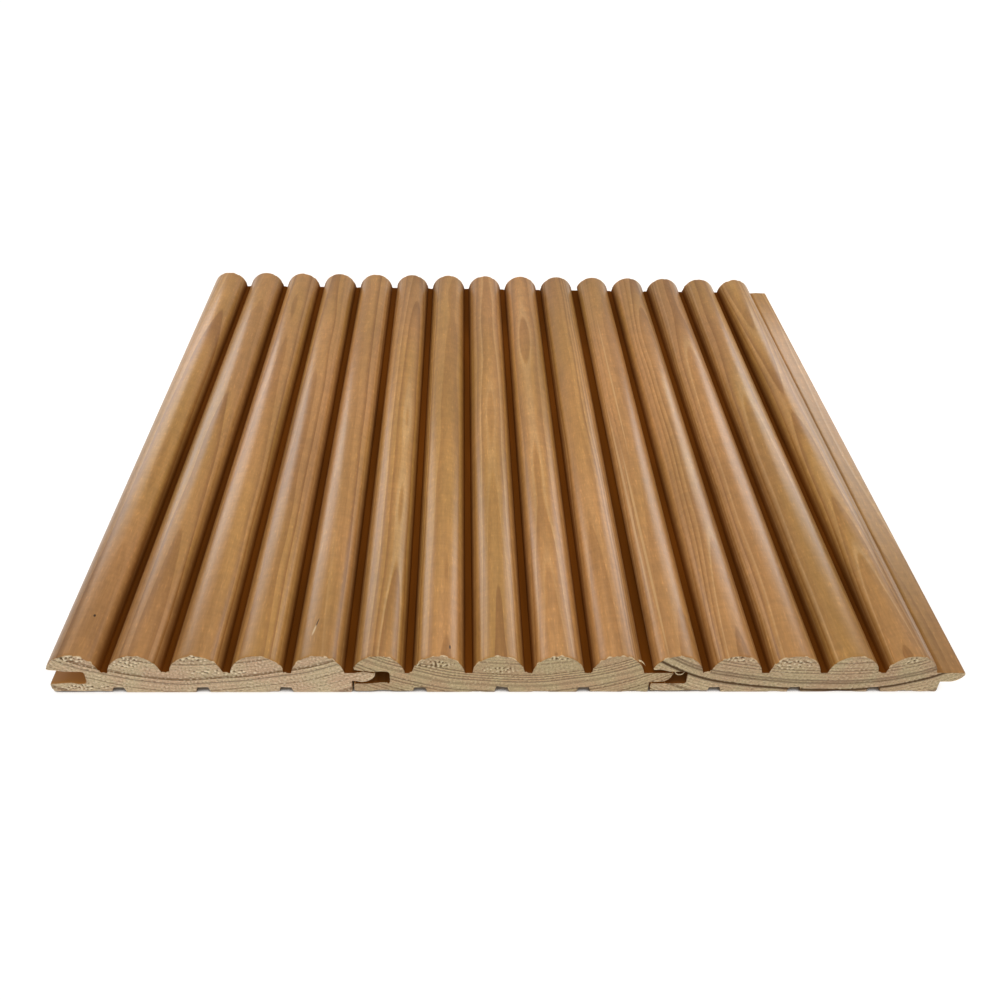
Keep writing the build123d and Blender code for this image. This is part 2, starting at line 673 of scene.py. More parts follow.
def tint(red: int, green: int, blue: int) -> tuple:
    """Colour as the shader wants it, from the usual 0 to 255 screen values.

    Args:
        red: Red.
        green: Green.
        blue: Blue.

    Returns:
        Linear red, green and blue, and full opacity.
    """
    share = np.array([red, green, blue]) / 255
    linear = np.where(share > 0.04045, ((share + 0.055) / 1.055) ** 2.4, share / 12.92)
    return (*linear.tolist(), 1.0)


@dataclass(frozen=True)
class Mottle:
    """Uneven tone: noise of so many cells in a metre along X, Y and Z, turned into a factor."""

    cells: tuple
    detail: float
    weakest: float
    strongest: float
    low: float = 0.3
    high: float = 0.7

    def lay(self, bench: NodeBench, place: Socket) -> Socket:
        """Factor at a place."""
        noise = bench.noise(place, self.cells, self.detail)
        return bench.step(noise, self.low, self.high, self.weakest, self.strongest)


@dataclass(frozen=True)
class RingFigure:
    """How growth rings show: each darkens slowly, ends sharply, and a pale line may follow it.

    Each field is a ramp: the low and high end of what it reads, and what it gives at the two. It
    reads the share of the ring that is passed, or the chance that the ring drew.
    """

    darken: tuple
    end: tuple
    chance_dark: tuple
    pale_start: tuple
    pale_end: tuple
    chance_pale: tuple

    def lay(self, bench: NodeBench, seed: int) -> tuple[Socket, Socket]:
        """Lays the figure.

        Args:
            bench: Bench of the material.
            seed: Number of the tree, from which the rings draw their chances.

        Returns:
            Sockets of how dark and how pale the wood is.
        """
        rings = bench.trait(Trait.RINGS)
        part = bench.math("FRACT", rings)
        number = bench.math("FLOOR", rings)
        dark, pale = (bench.chance(number, seed + start) for start in (0.0, 0.5))
        late = (bench.step(part, *self.darken), bench.step(part, *self.end))
        line = (bench.step(part, *self.pale_start), bench.step(part, *self.pale_end))
        late_wood = bench.product(*late, bench.step(dark, *self.chance_dark))
        return late_wood, bench.product(*line, bench.step(pale, *self.chance_pale))


@dataclass(frozen=True)
class StainedPine:
    """Satin brown stain over planed pine, darker in the valleys as pooled stain and painted shade, lighter
    inside the open groove as painted light, and gone from the end arrises.

    A field of two or four numbers is a ramp, as in the ring figure.
    """

    gold: tuple = tint(178, 131, 69)
    rose: tuple = tint(182, 131, 77)
    band: tuple = tint(143, 95, 46)
    line: tuple = tint(206, 166, 114)
    # pooled stain, darkened further as painted shade where the valleys are deep
    pooled_stain_and_shade: tuple = tint(106, 56, 10)
    # painted light: a lighter colour inside the open groove, where little light reaches
    inside: tuple = tint(188, 130, 66)
    bare: tuple = tint(214, 186, 146)
    resin: tuple = tint(52, 28, 12)
    sheen: tuple = (1.0, 0.95, 0.88, 1.0)
    shine: tuple = (0.25, 0.45, 0.5, 0.08)  # by shelter
    ior: float = 1.5
    roughness: tuple = (0.2, 0.8, 0.28, 0.38)  # by the fibre
    pooled_roughness: float = 0.6  # added in the valleys
    bare_roughness: float = 0.3  # added where the stain is gone
    relief: float = 0.008 * MM
    fleck_relief: float = 0.5  # share of the fibre's
    figure: RingFigure = RingFigure(
        darken=(0.3, 0.9),
        end=(0.95, 1.0, 1.0, 0.0),
        chance_dark=(0.0, 1.0, 0.15, 0.78),
        pale_start=(0.0, 0.06),
        pale_end=(0.1, 0.34, 1.0, 0.0),
        chance_pale=(0.4, 1.0, 0.0, 0.5),
    )
    patch_cells: tuple = (30, 6, 30)
    patch_edge: tuple = (0.36, 0.64)
    fibre_cells: tuple = (800, 10, 800)
    fibre_tone: tuple = (0.25, 0.75, 0.94, 1.06)
    fleck_cells: tuple = (1500, 260, 1500)
    fleck_tone: tuple = (0.28, 0.72, 0.95, 1.05)
    pale_fleck: tuple = (0.64, 0.76, 1.0, 1.17)
    mottles: tuple = (
        Mottle((260, 110, 260), 2, 0.94, 1.06),
        Mottle((110, 620, 110), 1, 0.965, 1.035),
        Mottle((45, 9, 45), 3, 0.89, 1.1),
    )
    groove_painted_light_edge: tuple = (-1.0, 0.0, 1.0, 0.0)  # by shelter: painted light inside the open groove
    pool_and_shade_edge: tuple = (0.3, 0.95)  # by shelter: pooled stain and painted shade in the valleys
    pool_and_shade_mottle: Mottle = Mottle((150, 14, 150), 2, 0.8, 1.12)
    crumb_cells: tuple = (1500, 1500, 1500)
    worn_edge: tuple = (0.5, 0.7)
    streak_strength: float = 0.6

    def material(self, name: str, seed: int, marks: tuple) -> bpy.types.Material:
        """Lays the finish.

        Args:
            name: Name of the material.
            seed: Number of the tree that the board came from.
            marks: Small marks on the board's face.

        Returns:
            The material.
        """
        material, bench = new_material(name)
        place = bench.place()
        shelter = bench.trait(Trait.SHELTER)
        fibre = bench.noise(place, self.fibre_cells, 3, 0.6)
        fleck = bench.noise(place, self.fleck_cells, 1)
        tone = bench.product(
            bench.step(fibre, *self.fibre_tone),
            bench.step(fleck, *self.fleck_tone),
            bench.step(fleck, *self.pale_fleck),
            *(mottle.lay(bench, place) for mottle in self.mottles),
        )
        colour = bench.scale(self._grain(bench, place, seed), tone)
        # painted light inside the open groove
        colour = bench.mix(bench.step(shelter, *self.groove_painted_light_edge), colour, self.inside)
        # the valleys darken, partly as pooled stain and partly as painted shade
        pool_and_shade = bench.step(shelter, *self.pool_and_shade_edge)
        pooled_stain_and_shade = bench.scale(self.pooled_stain_and_shade[:3], self.pool_and_shade_mottle.lay(bench, place))
        colour = bench.mix(pool_and_shade, colour, pooled_stain_and_shade)
        crumb = bench.math("SUBTRACT", bench.noise(place, self.crumb_cells), 0.5)
        bare = bench.step(bench.math("ADD", bench.trait(Trait.WORN), crumb), *self.worn_edge)
        for mark in marks:
            inside = bench.inside(place, mark)
            if mark.kind is MarkKind.NICK:
                bare = bench.most(bare, inside)
            elif mark.kind is MarkKind.STREAK:
                colour = bench.mix(bench.product(inside, self.streak_strength), colour, self.line)
            else:
                colour = bench.mix(inside, colour, self.resin)
        roughness = bench.step(fibre, *self.roughness)
        for share, more in ((pool_and_shade, self.pooled_roughness), (bare, self.bare_roughness)):
            roughness = bench.math("ADD", roughness, bench.product(share, more))
        relief = bench.math("ADD", fibre, bench.product(fleck, self.fleck_relief))
        inputs = {
            "Base Color": bench.mix(bare, colour, self.bare),
            "Roughness": roughness,
            "IOR": self.ior,
            "Specular IOR Level": bench.step(shelter, *self.shine),
            "Specular Tint": self.sheen,
            "Normal": bench.bump(relief, self.relief),
        }
        bench.surface(inputs)
        return material

    def _grain(self, bench: NodeBench, place: Socket, seed: int) -> Socket:
        """Soft flames on a ground that changes from gold to rose.

        Args:
            bench: Bench of the material.
            place: Socket of the place.
            seed: Number of the tree.

        Returns:
            Socket of the colour.
        """
        late, pale = self.figure.lay(bench, seed)
        patch = bench.step(bench.noise(place, self.patch_cells), *self.patch_edge)
        colour = bench.mix(patch, self.gold, self.rose)
        return bench.mix(pale, bench.mix(late, colour, self.band), self.line)


@dataclass(frozen=True)
class SawnPine:
    """Raw end grain: pale early wood, brown late wood, torn fibres and the pits that they left, darkened as
    painted shade.

    A field of two or four numbers is a ramp, as in the ring figure.
    """

    tone: tuple  # how much of the red, green and blue this board gives back
    early: tuple = tint(209, 188, 152)
    warm: tuple = tint(207, 176, 144)
    late: tuple = tint(116, 88, 58)
    line: tuple = tint(226, 206, 168)
    bold: tuple = tint(78, 54, 32)
    fibre: tuple = tint(244, 229, 198)
    # painted shade in the pits that torn fibres left
    pit: tuple = tint(94, 71, 47)
    roughness: float = 0.85
    specular: float = 0.15
    relief: float = 0.09 * MM
    figure: RingFigure = RingFigure(
        darken=(0.35, 0.88),
        end=(0.93, 1.0, 1.0, 0.0),
        chance_dark=(0.3, 1.0, 0.1, 0.9),
        pale_start=(0.0, 0.08),
        pale_end=(0.15, 0.45, 1.0, 0.0),
        chance_pale=(0.3, 1.0, 0.0, 0.6),
    )
    cloud_cells: tuple = (90, 90, 90)
    cloud_edge: tuple = (0.35, 0.65)
    crumb_cells: tuple = (2000, 900, 2000)
    crumb_tone: tuple = (0.25, 0.75, 0.8, 1.19)
    bands_a_ring: float = 3.6
    band_tone: tuple = (0.3, 0.7, 0.84, 1.12)
    fibre_edge: tuple = (0.15, 0.8, 0.0, 0.85)  # by tear
    pit_shade_edge: tuple = (-0.8, -0.2, 0.85, 0.0)  # by tear: painted shade in the pits
    bold_core: float = 0.3  # share of a bold ring's half width that is full
    bold_least: float = 0.3  # strength of the thinnest bold ring
    bold_gain: float = 1.1  # more strength for each ring of half width

    def material(self, name: str, seed: int, bold_rings: list[tuple]) -> bpy.types.Material:
        """Lays the finish.

        Args:
            name: Name of the material.
            seed: Number of the tree that the board came from.
            bold_rings: Count of each ring that is drawn bold, and half its width.

        Returns:
            The material.
        """
        material, bench = new_material(name)
        place = bench.place()
        rings = bench.trait(Trait.RINGS)
        tear = bench.trait(Trait.TEAR)
        late, pale = self.figure.lay(bench, seed)
        cloud = bench.step(bench.noise(place, self.cloud_cells, 3), *self.cloud_edge)
        crumb = bench.noise(place, self.crumb_cells, 3, 0.6)
        colour = bench.mix(cloud, self.early, self.warm)
        colour = bench.mix(late, colour, self.late)
        colour = bench.mix(pale, colour, self.line)
        bands = bench.step(bench.bands(rings, self.bands_a_ring), *self.band_tone)
        colour = bench.scale(colour, bench.product(bench.step(crumb, *self.crumb_tone), bands))
        colour = bench.mix(bench.step(tear, *self.fibre_edge), colour, self.fibre)
        # painted shade in the pits
        colour = bench.mix(bench.step(tear, *self.pit_shade_edge), colour, self.pit)
        for ring, half in bold_rings:
            away = bench.math("ABSOLUTE", bench.math("SUBTRACT", rings, ring))
            strength = self.bold_least + self.bold_gain * half
            drawn = bench.step(away, self.bold_core * half, half, strength, 0.0)
            colour = bench.mix(drawn, colour, self.bold)
        inputs = {
            "Base Color": bench.vector("MULTIPLY", colour, self.tone)[0],
            "Roughness": self.roughness,
            "Specular IOR Level": self.specular,
            "Normal": bench.bump(crumb, self.relief),
        }
        bench.surface(inputs)
        return material


def lay_mesh(name: str, points: np.ndarray, corners: list[np.ndarray], traits: dict) -> bpy.types.Object:
    """Puts arrays into a mesh, with its second material on the three-cornered faces.

    Args:
        name: Name of the piece.
        points: Vertices.
        corners: Groups of faces, each an array of vertex numbers with one row a face.
        traits: Values of each vertex by their trait.

    Returns:
        The new object.
    """
    mesh = bpy.data.meshes.new(name)
    mesh.vertices.add(len(points))
    mesh.vertices.foreach_set("co", points.astype(np.float32).ravel())
    sizes = np.concatenate([np.full(len(c), c.shape[1]) for c in corners])
    starts = np.concatenate([[0], np.cumsum(sizes)[:-1]])
    mesh.loops.add(int(sizes.sum()))
    mesh.loops.foreach_set("vertex_index", np.concatenate([c.ravel() for c in corners]).astype(np.int32))
    mesh.polygons.add(len(sizes))
    mesh.polygons.foreach_set("loop_start", starts.astype(np.int32))
    mesh.polygons.foreach_set("material_index", (sizes == 3).astype(np.int32))
    mesh.polygons.foreach_set("use_smooth", np.ones(len(sizes), dtype=bool))
    mesh.update(calc_edges=True)
    for trait, values in traits.items():
        layer = mesh.attributes.new(trait.value, "FLOAT", "POINT")
        layer.data.foreach_set("value", values.astype(np.float32))
    mesh.set_sharp_from_angle(angle=SHARP_EDGE)
    mesh.validate()
    piece = bpy.data.objects.new(name, mesh)
    bpy.context.collection.objects.link(piece)
    return piece


def wrapped_faces(rows: int, around: int) -> np.ndarray:
    """Four-cornered faces of a grid that is closed round its second parameter, each turned outwards.

    Args:
        rows: Rows of vertices.
        around: Vertices in a row.

    Returns:
        Vertex numbers, one row a face.
    """
    i, j = np.meshgrid(np.arange(around), np.arange(rows - 1))
    here, there = j * around, (j + 1) * around
    step = (i + 1) % around
    return np.stack([here + i, there + i, there + step, here + step], axis=2).reshape(-1, 4)


@dataclass(frozen=True)
class TornFibre:
    """Pale loose wood, with a fine streak along it."""

    pale: tuple = tint(238, 218, 178)
    dark: tuple = tint(206, 174, 128)
    roughness: float = 0.8
    streak_cells: tuple = (900, 3000, 900)
    streak_edge: tuple = (0.35, 0.65)

    def material(self, name: str) -> bpy.types.Material:
        """Lays the finish.

        Args:
            name: Name of the material.

        Returns:
            The material.
        """
        material, bench = new_material(name)
        streak = bench.step(bench.noise(bench.place(), self.streak_cells), *self.streak_edge)
        bench.surface({"Base Color": bench.mix(streak, self.dark, self.pale), "Roughness": self.roughness})
        return material


@dataclass
class Sliver:
    """Loose strip of wood in the plane of the section. Its root and length are in millimetres."""

    name: str
    root: tuple
    heading: float
    curl: float
    length: float
    width: float = 0.9 * MM
    thickness: float = 0.42 * MM
    taper: float = 0.85  # share of its width that is gone at the tip
    stations: int = 25
    around: int = 10

    def build(self) -> bpy.types.Object:
        """Builds the strip: an oval profile carried along a path that turns evenly, tapering to its tip.

        Returns:
            The strip's object.
        """
        along = np.linspace(0.0, 1.0, self.stations)
        angle = np.radians(self.heading + self.curl * along)
        way = np.stack([np.cos(angle), np.sin(angle)], axis=1)
        path = np.cumsum(way, axis=0) * (self.length * MM) / self.stations
        taper = (1 - self.taper * along**2)[:, None]
        turn = FULL_TURN * np.arange(self.around) / self.around
        aside = 0.5 * self.width * taper * np.cos(turn)
        lift = 0.5 * self.thickness * taper * np.sin(turn)
        root_x, root_y, root_z = np.array(self.root) * MM
        x = root_x + path[:, :1] - lift * way[:, 1:]
        z = root_z + path[:, 1:] + lift * way[:, :1]
        points = np.stack([x, root_y + aside, z], axis=2).reshape(-1, 3)
        ring = np.arange(1, self.around - 1)
        fan = np.stack([np.zeros_like(ring), ring, ring + 1], axis=1)
        last = (self.stations - 1) * self.around
        corners = [wrapped_faces(self.stations, self.around), fan, fan[:, ::-1] + last]
        return lay_mesh(self.name, points, corners, {})

    def dress(self, strip: bpy.types.Object) -> None:
        """Gives the strip its finish and its body.

        Args:
            strip: The strip's object.
        """
        fibre = TornFibre().material(f"fibre_{self.name}")
        for _ in ("sides", "ends"):
            strip.data.materials.append(fibre)
        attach(strip, BODY)


@dataclass
class Board:
    """One lining board, run from the section, with torn and chipped sawn ends."""

    name: str
    node: str
    section: BoardSection
    grid: EndGrid
    trunk: Trunk
    end_tone: tuple
    end_roughness: float
    torn: tuple
    marks: tuple = ()
    open_left: bool = False
    open_right: bool = False
    row_spacing: float = 2.2 * MM
    end_rows: tuple = (0.0, 0.15, 0.35, 0.6, 0.95, 1.4, 2.0, 2.8, 3.8)  # millimetres from the sawn end
    arris_inset: float = 0.12 * MM
    arris_fade: float = 0.42 * MM
    chip_fade: float = 0.9 * MM
    chip_depth: float = 0.34 * MM
    chip_range: tuple = (0.15, 0.3, 1.4)  # least depth, level cut off, most above it, in chip depths
    chip_blur: float = 1.1  # points of the outline
    chip_inset: float = 0.4  # share of a chip's depth that also draws the arris in
    worn_least: float = 0.3
    tongue_foot_shade: float = 0.55  # at the foot of an open tongue: painted shade, and less sheen
    foot_span: tuple = (2.0 * MM, -1.0 * MM)  # from the shoulder
    closed_groove_shade: float = 0.8  # in a groove that holds a tongue: a dark pooled colour as painted shade
    lead_in_reach: float = 1.2 * MM
    end_setback: float = 0.22 * MM
    least_setback: float = 0.02 * MM
    ridge_span: tuple = (0.4, 0.9)  # share of a ring passed
    ridge_height: float = 0.05 * MM
    saw_marks: float = 0.03 * MM
    grit: tuple = (1.0, (1.1 * MM, 2.0 * MM), (1.0, 2.0))  # reach, wavelengths across and along
    grit_waves: int = 48
    grit_seed: int = 5
    patch_edge: tuple = (1.3, 0.5)  # in half widths
    fibre_span: tuple = (0.3, 1.2)
    fibre_height: float = 0.15 * MM
    pit_span: tuple = (0.6, 1.3)
    pit_depth: float = 0.4 * MM

    def build(self) -> bpy.types.Object:
        """Builds the board's mesh: the section carried along Y, closed by two nets of torn end grain.

        Returns:
            The board's object, with its traits on its vertices.
        """
        low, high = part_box(self.node)
        offset = low[0] - self.section.left_edge
        outline = self.section.outline()
        rng = np.random.default_rng(self.trunk.seed)
        chips = {end: self._chips(len(outline), rng) for end in SawnEnd}
        shelter = self._shelter(outline)
        skin, worn = self._skin(outline, low[1], high[1], chips)
        rows, rim = skin.shape[:2]
        tear = np.zeros((rows, rim))
        points = [skin.reshape(-1, 3)]
        inner_tears = []
        corners = [wrapped_faces(rows, rim)]
        total = rows * rim
        for end in SawnEnd:
            front = end is SawnEnd.FRONT
            inner, inner_tear = self._end_relief(low[1] if front else high[1], end, rng)
            row = 0 if front else rows - 1
            shown = ease(chips[end], self.chip_range[0] * self.chip_depth, self.chip_depth)
            tear[row] = shown * (1 - abs(shelter))
            lookup = np.concatenate([row * rim + np.arange(rim), total + np.arange(len(inner))])
            faces = lookup[self.grid.triangles]
            corners.append(faces if front else faces[:, ::-1])
            points.append(inner)
            inner_tears.append(inner_tear)
            total += len(inner)
        points = np.concatenate(points)
        bare = np.zeros(total - rows * rim)
        traits = {
            Trait.RINGS: self.trunk.rings(points, self.section),
            Trait.SHELTER: np.concatenate([np.tile(shelter, rows), bare]),
            Trait.WORN: np.concatenate([worn.ravel(), bare]),
            Trait.TEAR: np.concatenate([tear.ravel(), *inner_tears]),
        }
        return lay_mesh(self.name, points + (offset, 0, 0), corners, traits)

    def dress(self, board: bpy.types.Object) -> None:
        """Gives the board its two finishes and its body, and hides the CAD part that it stands for.

        Args:
            board: The board's object.
        """
        stain = StainedPine().material(f"stain_{self.name}", self.trunk.seed, self.marks)
        bold_rings = self.trunk.bold_rings(self.section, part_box(self.node)[0][1])
        ends = SawnPine(self.end_tone).material(f"end_grain_{self.name}", self.trunk.seed, bold_rings)
        for finish in (stain, ends):
            board.data.materials.append(finish)
        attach(board, BODY)
        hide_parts(self.node)

    def _chips(self, count: int, rng: np.random.Generator) -> np.ndarray:
        """Depth of the chips round one arris: noise smoothed along the outline, cut off below a level.

        Args:
            count: Points in the outline.
            rng: Source of the seeded chances.

        Returns:
            One depth a point.
        """
        raw = rng.normal(size=count)
        away = np.minimum(np.arange(count), count - np.arange(count))
        blur = np.exp(-0.5 * (away / self.chip_blur) ** 2)
        smooth = np.fft.irfft(np.fft.rfft(raw) * np.fft.rfft(blur / np.linalg.norm(blur)), count)
        least, level, most = self.chip_range
        return self.chip_depth * (least + np.clip(smooth - level, 0.0, most))

    def _stations(self, start: float, end: float) -> np.ndarray:
        """Places of the rows: close together near the sawn ends, even between them.

        Args:
            start: Y of the front end.
            end: Y of the back end.

        Returns:
            Y of each row.
        """
        near = np.array(self.end_rows) * MM
        first, last = start + near[-1], end - near[-1]
        count = round((last - first) / self.row_spacing)
        middle = np.linspace(first, last, count + 1)
        return np.concatenate([start + near[:-1], middle, (end - near[:-1])[::-1]])

    def _skin(self, outline: np.ndarray, start: float, end: float, chips: dict) -> tuple:
        """Long faces: the outline carried along Y, drawn in and pushed back where the arris is chipped.

        Args:
            outline: Closed outline of the section.
            start: Y of the front end.
            end: Y of the back end.
            chips: Depth of the chips round the arris of each end.

        Returns:
            Vertices by row and outline point, and how worn each one is.
        """
        y = self._stations(start, end)[:, None]
        way = np.roll(outline, -1, axis=0) - np.roll(outline, 1, axis=0)
        normal = np.stack([way[:, 1], -way[:, 0]], axis=1)
        normal /= np.linalg.norm(normal, axis=1)[:, None]
        place = np.broadcast_to(y, (len(y), len(outline))).copy()
        inset = np.zeros_like(place)
        worn = np.zeros_like(place)
        for sawn, plane in ((SawnEnd.FRONT, start), (SawnEnd.BACK, end)):
            depth = abs(y - plane)
            chip = chips[sawn]
            place -= sawn.value * chip * np.exp(-depth / self.chip_fade)
            inset += (self.arris_inset + self.chip_inset * chip) * np.exp(-depth / self.arris_fade)
            worn += np.exp(-depth / self.arris_fade) * (self.worn_least + chip / self.chip_depth)
        section = outline - inset[..., None] * normal
        return np.stack([section[..., 0], place, section[..., 1]], axis=2), worn

    def _shelter(self, outline: np.ndarray) -> np.ndarray:
        """How deep each point of the outline lies between the beads, which sets the pooled stain and the
        painted shade and light.

        Args:
            outline: Closed outline of the section.

        Returns:
            0 at a crest and on the back, 1 on a valley floor, -1 in an open edge groove; a closed groove
            and the open tongue's foot take set values of painted shade.
        """
        section = self.section
        x, z = outline.T
        depth = np.clip((section.thickness - z) / (section.thickness - section.valley_floor), 0.0, 1.0)
        first, last = section.crests[[0, -1]]
        lone = (self.open_left & (x < first)) | (self.open_right & (x > last))
        # painted shade, and less sheen, at the foot of the open tongue
        foot = self.tongue_foot_shade * ease(x, *(section.shoulder + reach for reach in self.foot_span))
        depth = np.where(lone, np.minimum(depth, foot * self.open_right), depth)
        below = z < section.valley_floor - HAIR
        level = (z > section.groove_floor - HAIR) & (z < section.groove_roof + self.lead_in_reach)
        grooved = level & (x < section.groove_end + HAIR)
        # a closed groove takes painted shade; an open one takes painted light
        inside = -1.0 if self.open_left else self.closed_groove_shade
        return np.where(grooved, inside, np.where(below, 0.0, depth))

    def _end_relief(self, plane: float, end: SawnEnd, rng: np.random.Generator) -> tuple:
        """Torn end grain: the net's inner points set back by ring ridges, torn fibres and pits.

        Args:
            plane: Y of the sawn end.
            end: Which end it is.
            rng: Source of the seeded chances.

        Returns:
            Vertices inside the rim, and how torn each one is.
        """
        x, z = self.grid.points[self.grid.rim :].T
        count = len(x)
        flat = np.stack([x, np.full(count, plane), z], axis=1)
        rings = self.trunk.rings(flat, self.section)
        ridge = 1.0 - ease(rings - np.floor(rings), *self.ridge_span)
        grit_seed = self.trunk.seed + self.grit_seed + end.value
        grit = Sway(*self.grit, grit_seed, self.grit_waves).at(flat)
        torn = np.full(count, self.end_roughness)
        for patch in self.torn:
            across = (x - patch.x * MM) / (patch.half_width * MM)
            up = (z - patch.z * MM) / (patch.half_height * MM)
            torn = np.maximum(torn, ease(np.hypot(across, up), *self.patch_edge))
        fibre = torn * ease(grit, *self.fibre_span)
        pit = torn * ease(-grit, *self.pit_span)
        back = self.end_setback + self.ridge_height * ridge + self.saw_marks * rng.random(count)
        back += self.pit_depth * pit - self.fibre_height * fibre
        flat[:, 1] = plane - end.value * np.clip(back, self.least_setback, None)
        return flat, fibre - pit


@dataclass(frozen=True)
class Viewpoint:
    """Camera, given by its place and by how it is turned from a level look along Y."""

    place: tuple = (-21.381 * MM, -439.335 * MM, 294.679 * MM)
    down: float = 36.590
    right: float = 2.852
    roll: float = 2.062
    lens: float = 37.609
    sensor: float = 36.0

    def build(self) -> bpy.types.Object:
        """Puts the camera in the scene.

        Returns:
            The camera's object.
        """
        data = bpy.data.cameras.new("viewpoint")
        data.sensor_fit = "HORIZONTAL"
        data.sensor_width = self.sensor
        data.lens = self.lens
        data.clip_start = 0.01
        camera = bpy.data.objects.new("viewpoint", data)
        turns = ((-self.right, "Z"), (90.0 - self.down, "X"), (self.roll, "Z"))
        placed = Matrix.Translation(self.place)
        for angle, axis in turns:
            placed = placed @ Matrix.Rotation(math.radians(angle), 4, axis)
        camera.matrix_world = placed
        bpy.context.collection.objects.link(camera)
        bpy.context.scene.camera = camera
        return camera


@dataclass(frozen=True)
class Lobe:
    """Soft patch of the sky: strongest along its axis, given by its turn from +Y and its height."""

    strength: float
    turn: float
    height: float
    spread: float

    def lay(self, bench: NodeBench, way: Socket) -> Socket:
        """Lays its light: the cosine of the angle to its axis, raised to a power.

        Args:
            bench: Bench of the sky.
            way: Socket of the direction.

        Returns:
            Socket of the light.
        """
        turn, height = math.radians(self.turn), math.radians(self.height)
        axis = (math.cos(height) * math.sin(turn), math.cos(height) * math.cos(turn), math.sin(height))
        along = bench.vector("DOT_PRODUCT", way, axis)["Value"]
        return bench.product(bench.math("POWER", bench.most(along, 0.0), self.spread), self.strength)


@dataclass(frozen=True)
class PanelLight:
    """Flat rectangle of light that the camera does not see."""

    name: str
    place: tuple
    size: tuple
    radiance: float
    tilt: float = 0.0
    reach: Reach = Reach.ALL

    def build(self) -> bpy.types.Object:
        """Puts the lamp in the scene: facing down, or tilted about X towards -Y.

        Returns:
            The lamp's object.
        """
        data = bpy.data.lights.new(self.name, "AREA")
        data.shape = "RECTANGLE"
        data.size, data.size_y = self.size
        data.energy = self.radiance * math.pi * self.size[0] * self.size[1]
        lamp = bpy.data.objects.new(self.name, data)
        lamp.location = self.place
        lamp.rotation_euler = (math.radians(-self.tilt), 0.0, 0.0)
        lamp.visible_camera = False
        lamp.visible_glossy = self.reach is not Reach.MATT
        bpy.context.collection.objects.link(lamp)
        return lamp


@dataclass(frozen=True)
class Studio:
    """White floor, a soft sky, a panel of light overhead and three upright ones behind the front end."""

    white: tuple = (1.0, 1.0, 1.0, 1.0)
    floor_reach: float = 6.0
    floor_colour: tuple = (0.33, 0.28, 0.22, 1.0)
    floor_glow: float = 0.92
    contact_reach: float = 6 * MM
    contact_edge: tuple = (0.3, 0.58)  # share of the sky that the floor sees; below it the glow fades into a painted contact shadow
    fill: float = 0.24
    mirrored_sky: float = 0.42
    front_lobe: Lobe = Lobe(strength=2.95, turn=180.0, height=12.0, spread=6.0)
    panels: tuple = (
        PanelLight("back_light", (0.0, 0.7, 0.11), (0.9, 0.18), radiance=3.0, tilt=90.0, reach=Reach.MATT),
        PanelLight("overhead_light", (0.0, -0.03, 0.26), (0.12, 0.44), radiance=2.55, reach=Reach.MATT),
        PanelLight("left_light", (-0.295, 0.2, 0.145), (0.24, 0.19), radiance=2.65, tilt=90.0),
        PanelLight("right_light", (0.295, 0.2, 0.145), (0.24, 0.19), radiance=2.65, tilt=90.0),
    )

    def build_floor(self) -> bpy.types.Object:
        """Lays the floor: one large level square under the panel, dark where the panel covers it.

        Returns:
            The floor's object.
        """
        reach = self.floor_reach
        corners = [(-reach, -reach, 0), (reach, -reach, 0), (reach, reach, 0), (-reach, reach, 0)]
        mesh = bpy.data.meshes.new("floor")
        mesh.from_pydata(corners, [], [(0, 1, 2, 3)])
        floor = bpy.data.objects.new("floor", mesh)
        bpy.context.collection.objects.link(floor)
        material, bench = new_material("white_floor")
        path = bench.add("ShaderNodeLightPath").outputs
        seen = bench.most(path["Is Camera Ray"], path["Is Glossy Ray"], path["Is Transmission Ray"])
        cover = bench.add("ShaderNodeAmbientOcclusion", {"Distance": self.contact_reach}, samples=8)
        # the glow fades with ambient occlusion: a contact shadow painted into the floor where the panel
        # covers it
        open_floor = bench.step(cover.outputs["AO"], *self.contact_edge)
        paint = bench.add("ShaderNodeBsdfDiffuse", {"Color": self.floor_colour})
        strength = bench.product(seen, open_floor, self.floor_glow)
        glow = bench.add("ShaderNodeEmission", {"Strength": strength})
        shader = bench.add("ShaderNodeAddShader", {0: paint.outputs[0], 1: glow.outputs[0]})
        bench.add("ShaderNodeOutputMaterial", {"Surface": shader.outputs[0]})
        mesh.materials.append(material)
        return floor

    def build_sky(self) -> bpy.types.World:
        """Lights the scene from a fill and a soft lobe. The sky is seen as white and mirrored as grey.

        Returns:
            The world.
        """
        world = bpy.data.worlds.new("studio_sky")
        world.use_nodes = True
        bpy.context.scene.world = world
        bench = NodeBench(world.node_tree)
        way = bench.add("ShaderNodeTexCoord").outputs["Generated"]
        path = bench.add("ShaderNodeLightPath").outputs
        mirrored = bench.most(path["Is Glossy Ray"], path["Is Transmission Ray"])
        seen = bench.most(path["Is Camera Ray"], mirrored)
        white = bench.most(path["Is Camera Ray"], bench.product(mirrored, self.mirrored_sky))
        light = bench.math("ADD", self.front_lobe.lay(bench, way), self.fill)
        light = bench.product(light, bench.math("SUBTRACT", 1.0, seen))
        strength = bench.math("ADD", light, white)
        backdrop = bench.add("ShaderNodeBackground", {"Color": self.white, "Strength": strength})
        bench.add("ShaderNodeOutputWorld", {"Surface": backdrop.outputs[0]})
        return world


